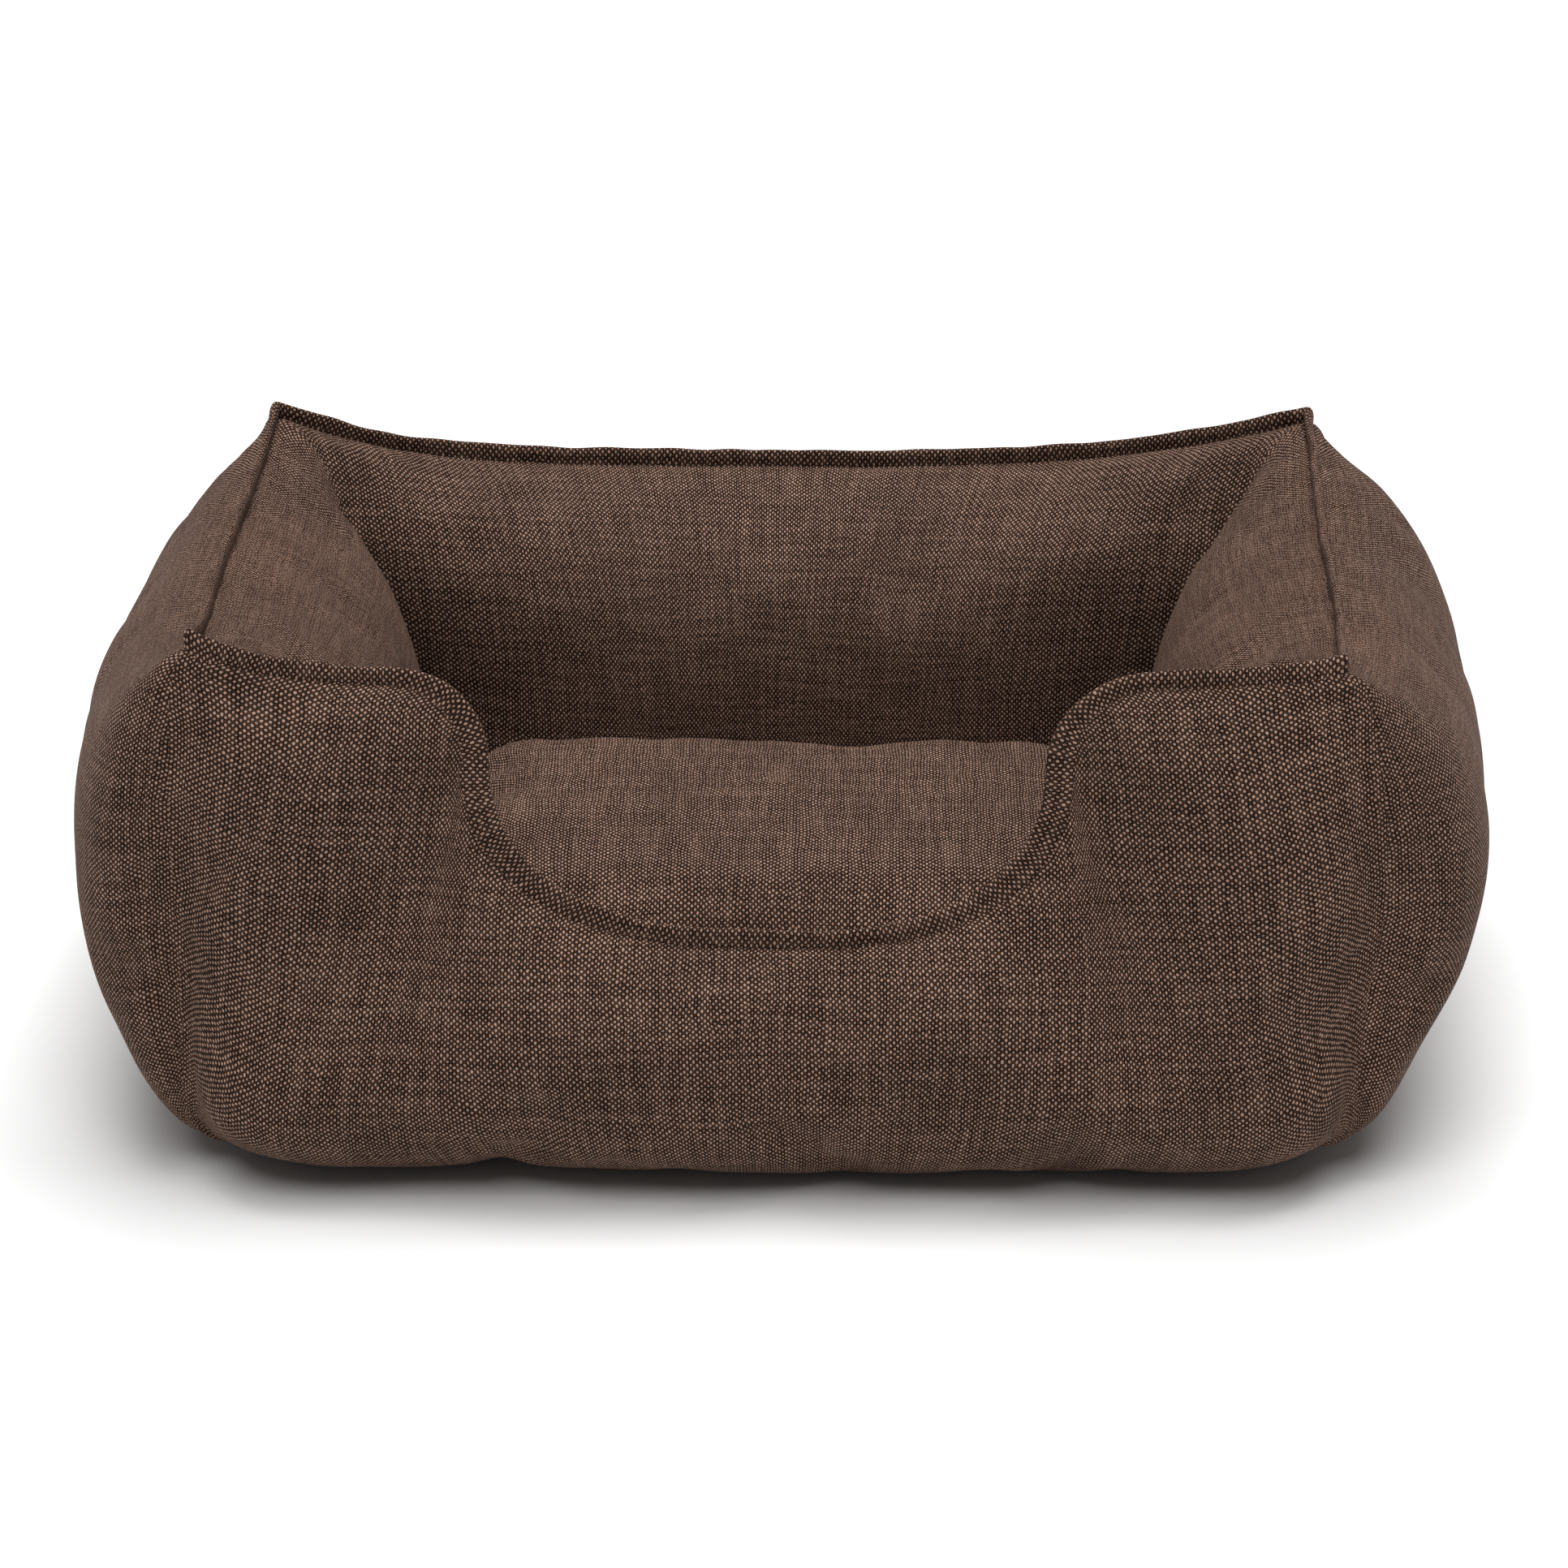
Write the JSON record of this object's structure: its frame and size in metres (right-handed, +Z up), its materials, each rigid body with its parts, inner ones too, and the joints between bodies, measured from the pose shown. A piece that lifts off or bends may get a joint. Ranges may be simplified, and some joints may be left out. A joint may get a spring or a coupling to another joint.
{
  "type": "dog bed",
  "caption": "Soft rectangular dog bed: stuffed fabric walls with a U-shaped front entry around a loose lift-out cushion.",
  "frame": {"origin": "centre of the footprint, on the floor", "axes": "+Z up, +X along the length, -Y towards the side with the entry"},
  "size_m": [0.6392, 0.4455, 0.2482],
  "materials": {
    "cover_fabric": "coarse linen-look plain weave in brown, light yarn over dark",
    "base_fabric": "dark non-slip cloth with small dots",
    "filling": "loose white polyester fibre",
    "zip_tape": "dark brown twill tape",
    "zip_coil": "dark brown nylon coil",
    "zip_metal": "dark bronze lacquer"
  },
  "bodies": {
    "rim": {"base_sheet": "base_fabric", "base_wadding": "filling", "inner_floor_cloth": "cover_fabric", "front_wall_filling": "filling", "front_outer_panel": "cover_fabric", "front_inner_panel": "cover_fabric", "front_top_flange": "cover_fabric", "right_wall_filling": "filling", "right_outer_panel": "cover_fabric", "right_inner_panel": "cover_fabric", "right_top_flange": "cover_fabric", "back_wall_filling": "filling", "back_outer_panel": "cover_fabric", "back_inner_panel": "cover_fabric", "back_top_flange": "cover_fabric", "left_wall_filling": "filling", "left_outer_panel": "cover_fabric", "left_inner_panel": "cover_fabric", "left_top_flange": "cover_fabric", "rim_zip_tape": "zip_tape", "rim_zip_coil": "zip_coil", "rim_zip_stop_closed": "zip_metal", "rim_zip_stop_open": "zip_metal"},
    "rim_slider": {"rim_zip_slider": "zip_metal"},
    "rim_pull": {"rim_zip_pull": "zip_metal"},
    "cushion": {"cushion_filling": "filling", "cushion_top_cover": "cover_fabric", "cushion_bottom_cover": "cover_fabric", "cushion_zip_tape": "zip_tape", "cushion_zip_coil": "zip_coil", "cushion_zip_stop_closed": "zip_metal", "cushion_zip_stop_open": "zip_metal"},
    "cushion_slider": {"cushion_zip_slider": "zip_metal", "cushion_zip_pull": "zip_metal"}
  },
  "joints": [
    {"name": "cushion_lift", "type": "slide", "parent": "rim", "child": "cushion", "axis": [0, 0, 1], "range_m": [0, 0.3]},
    {"name": "rim_zip_slide", "type": "slide", "parent": "rim", "child": "rim_slider", "axis": [1, 0, 0], "range_m": [0, 0.234]},
    {"name": "rim_pull_turn", "type": "hinge", "parent": "rim_slider", "child": "rim_pull", "pos_m": [-0.1177, 0.22085, 0.058], "axis": [0, 0, 1], "range_deg": [0, 170]},
    {"name": "cushion_zip_slide", "type": "slide", "parent": "cushion", "child": "cushion_slider", "axis": [1, 0, 0], "range_m": [0, 0.234]}
  ]
}
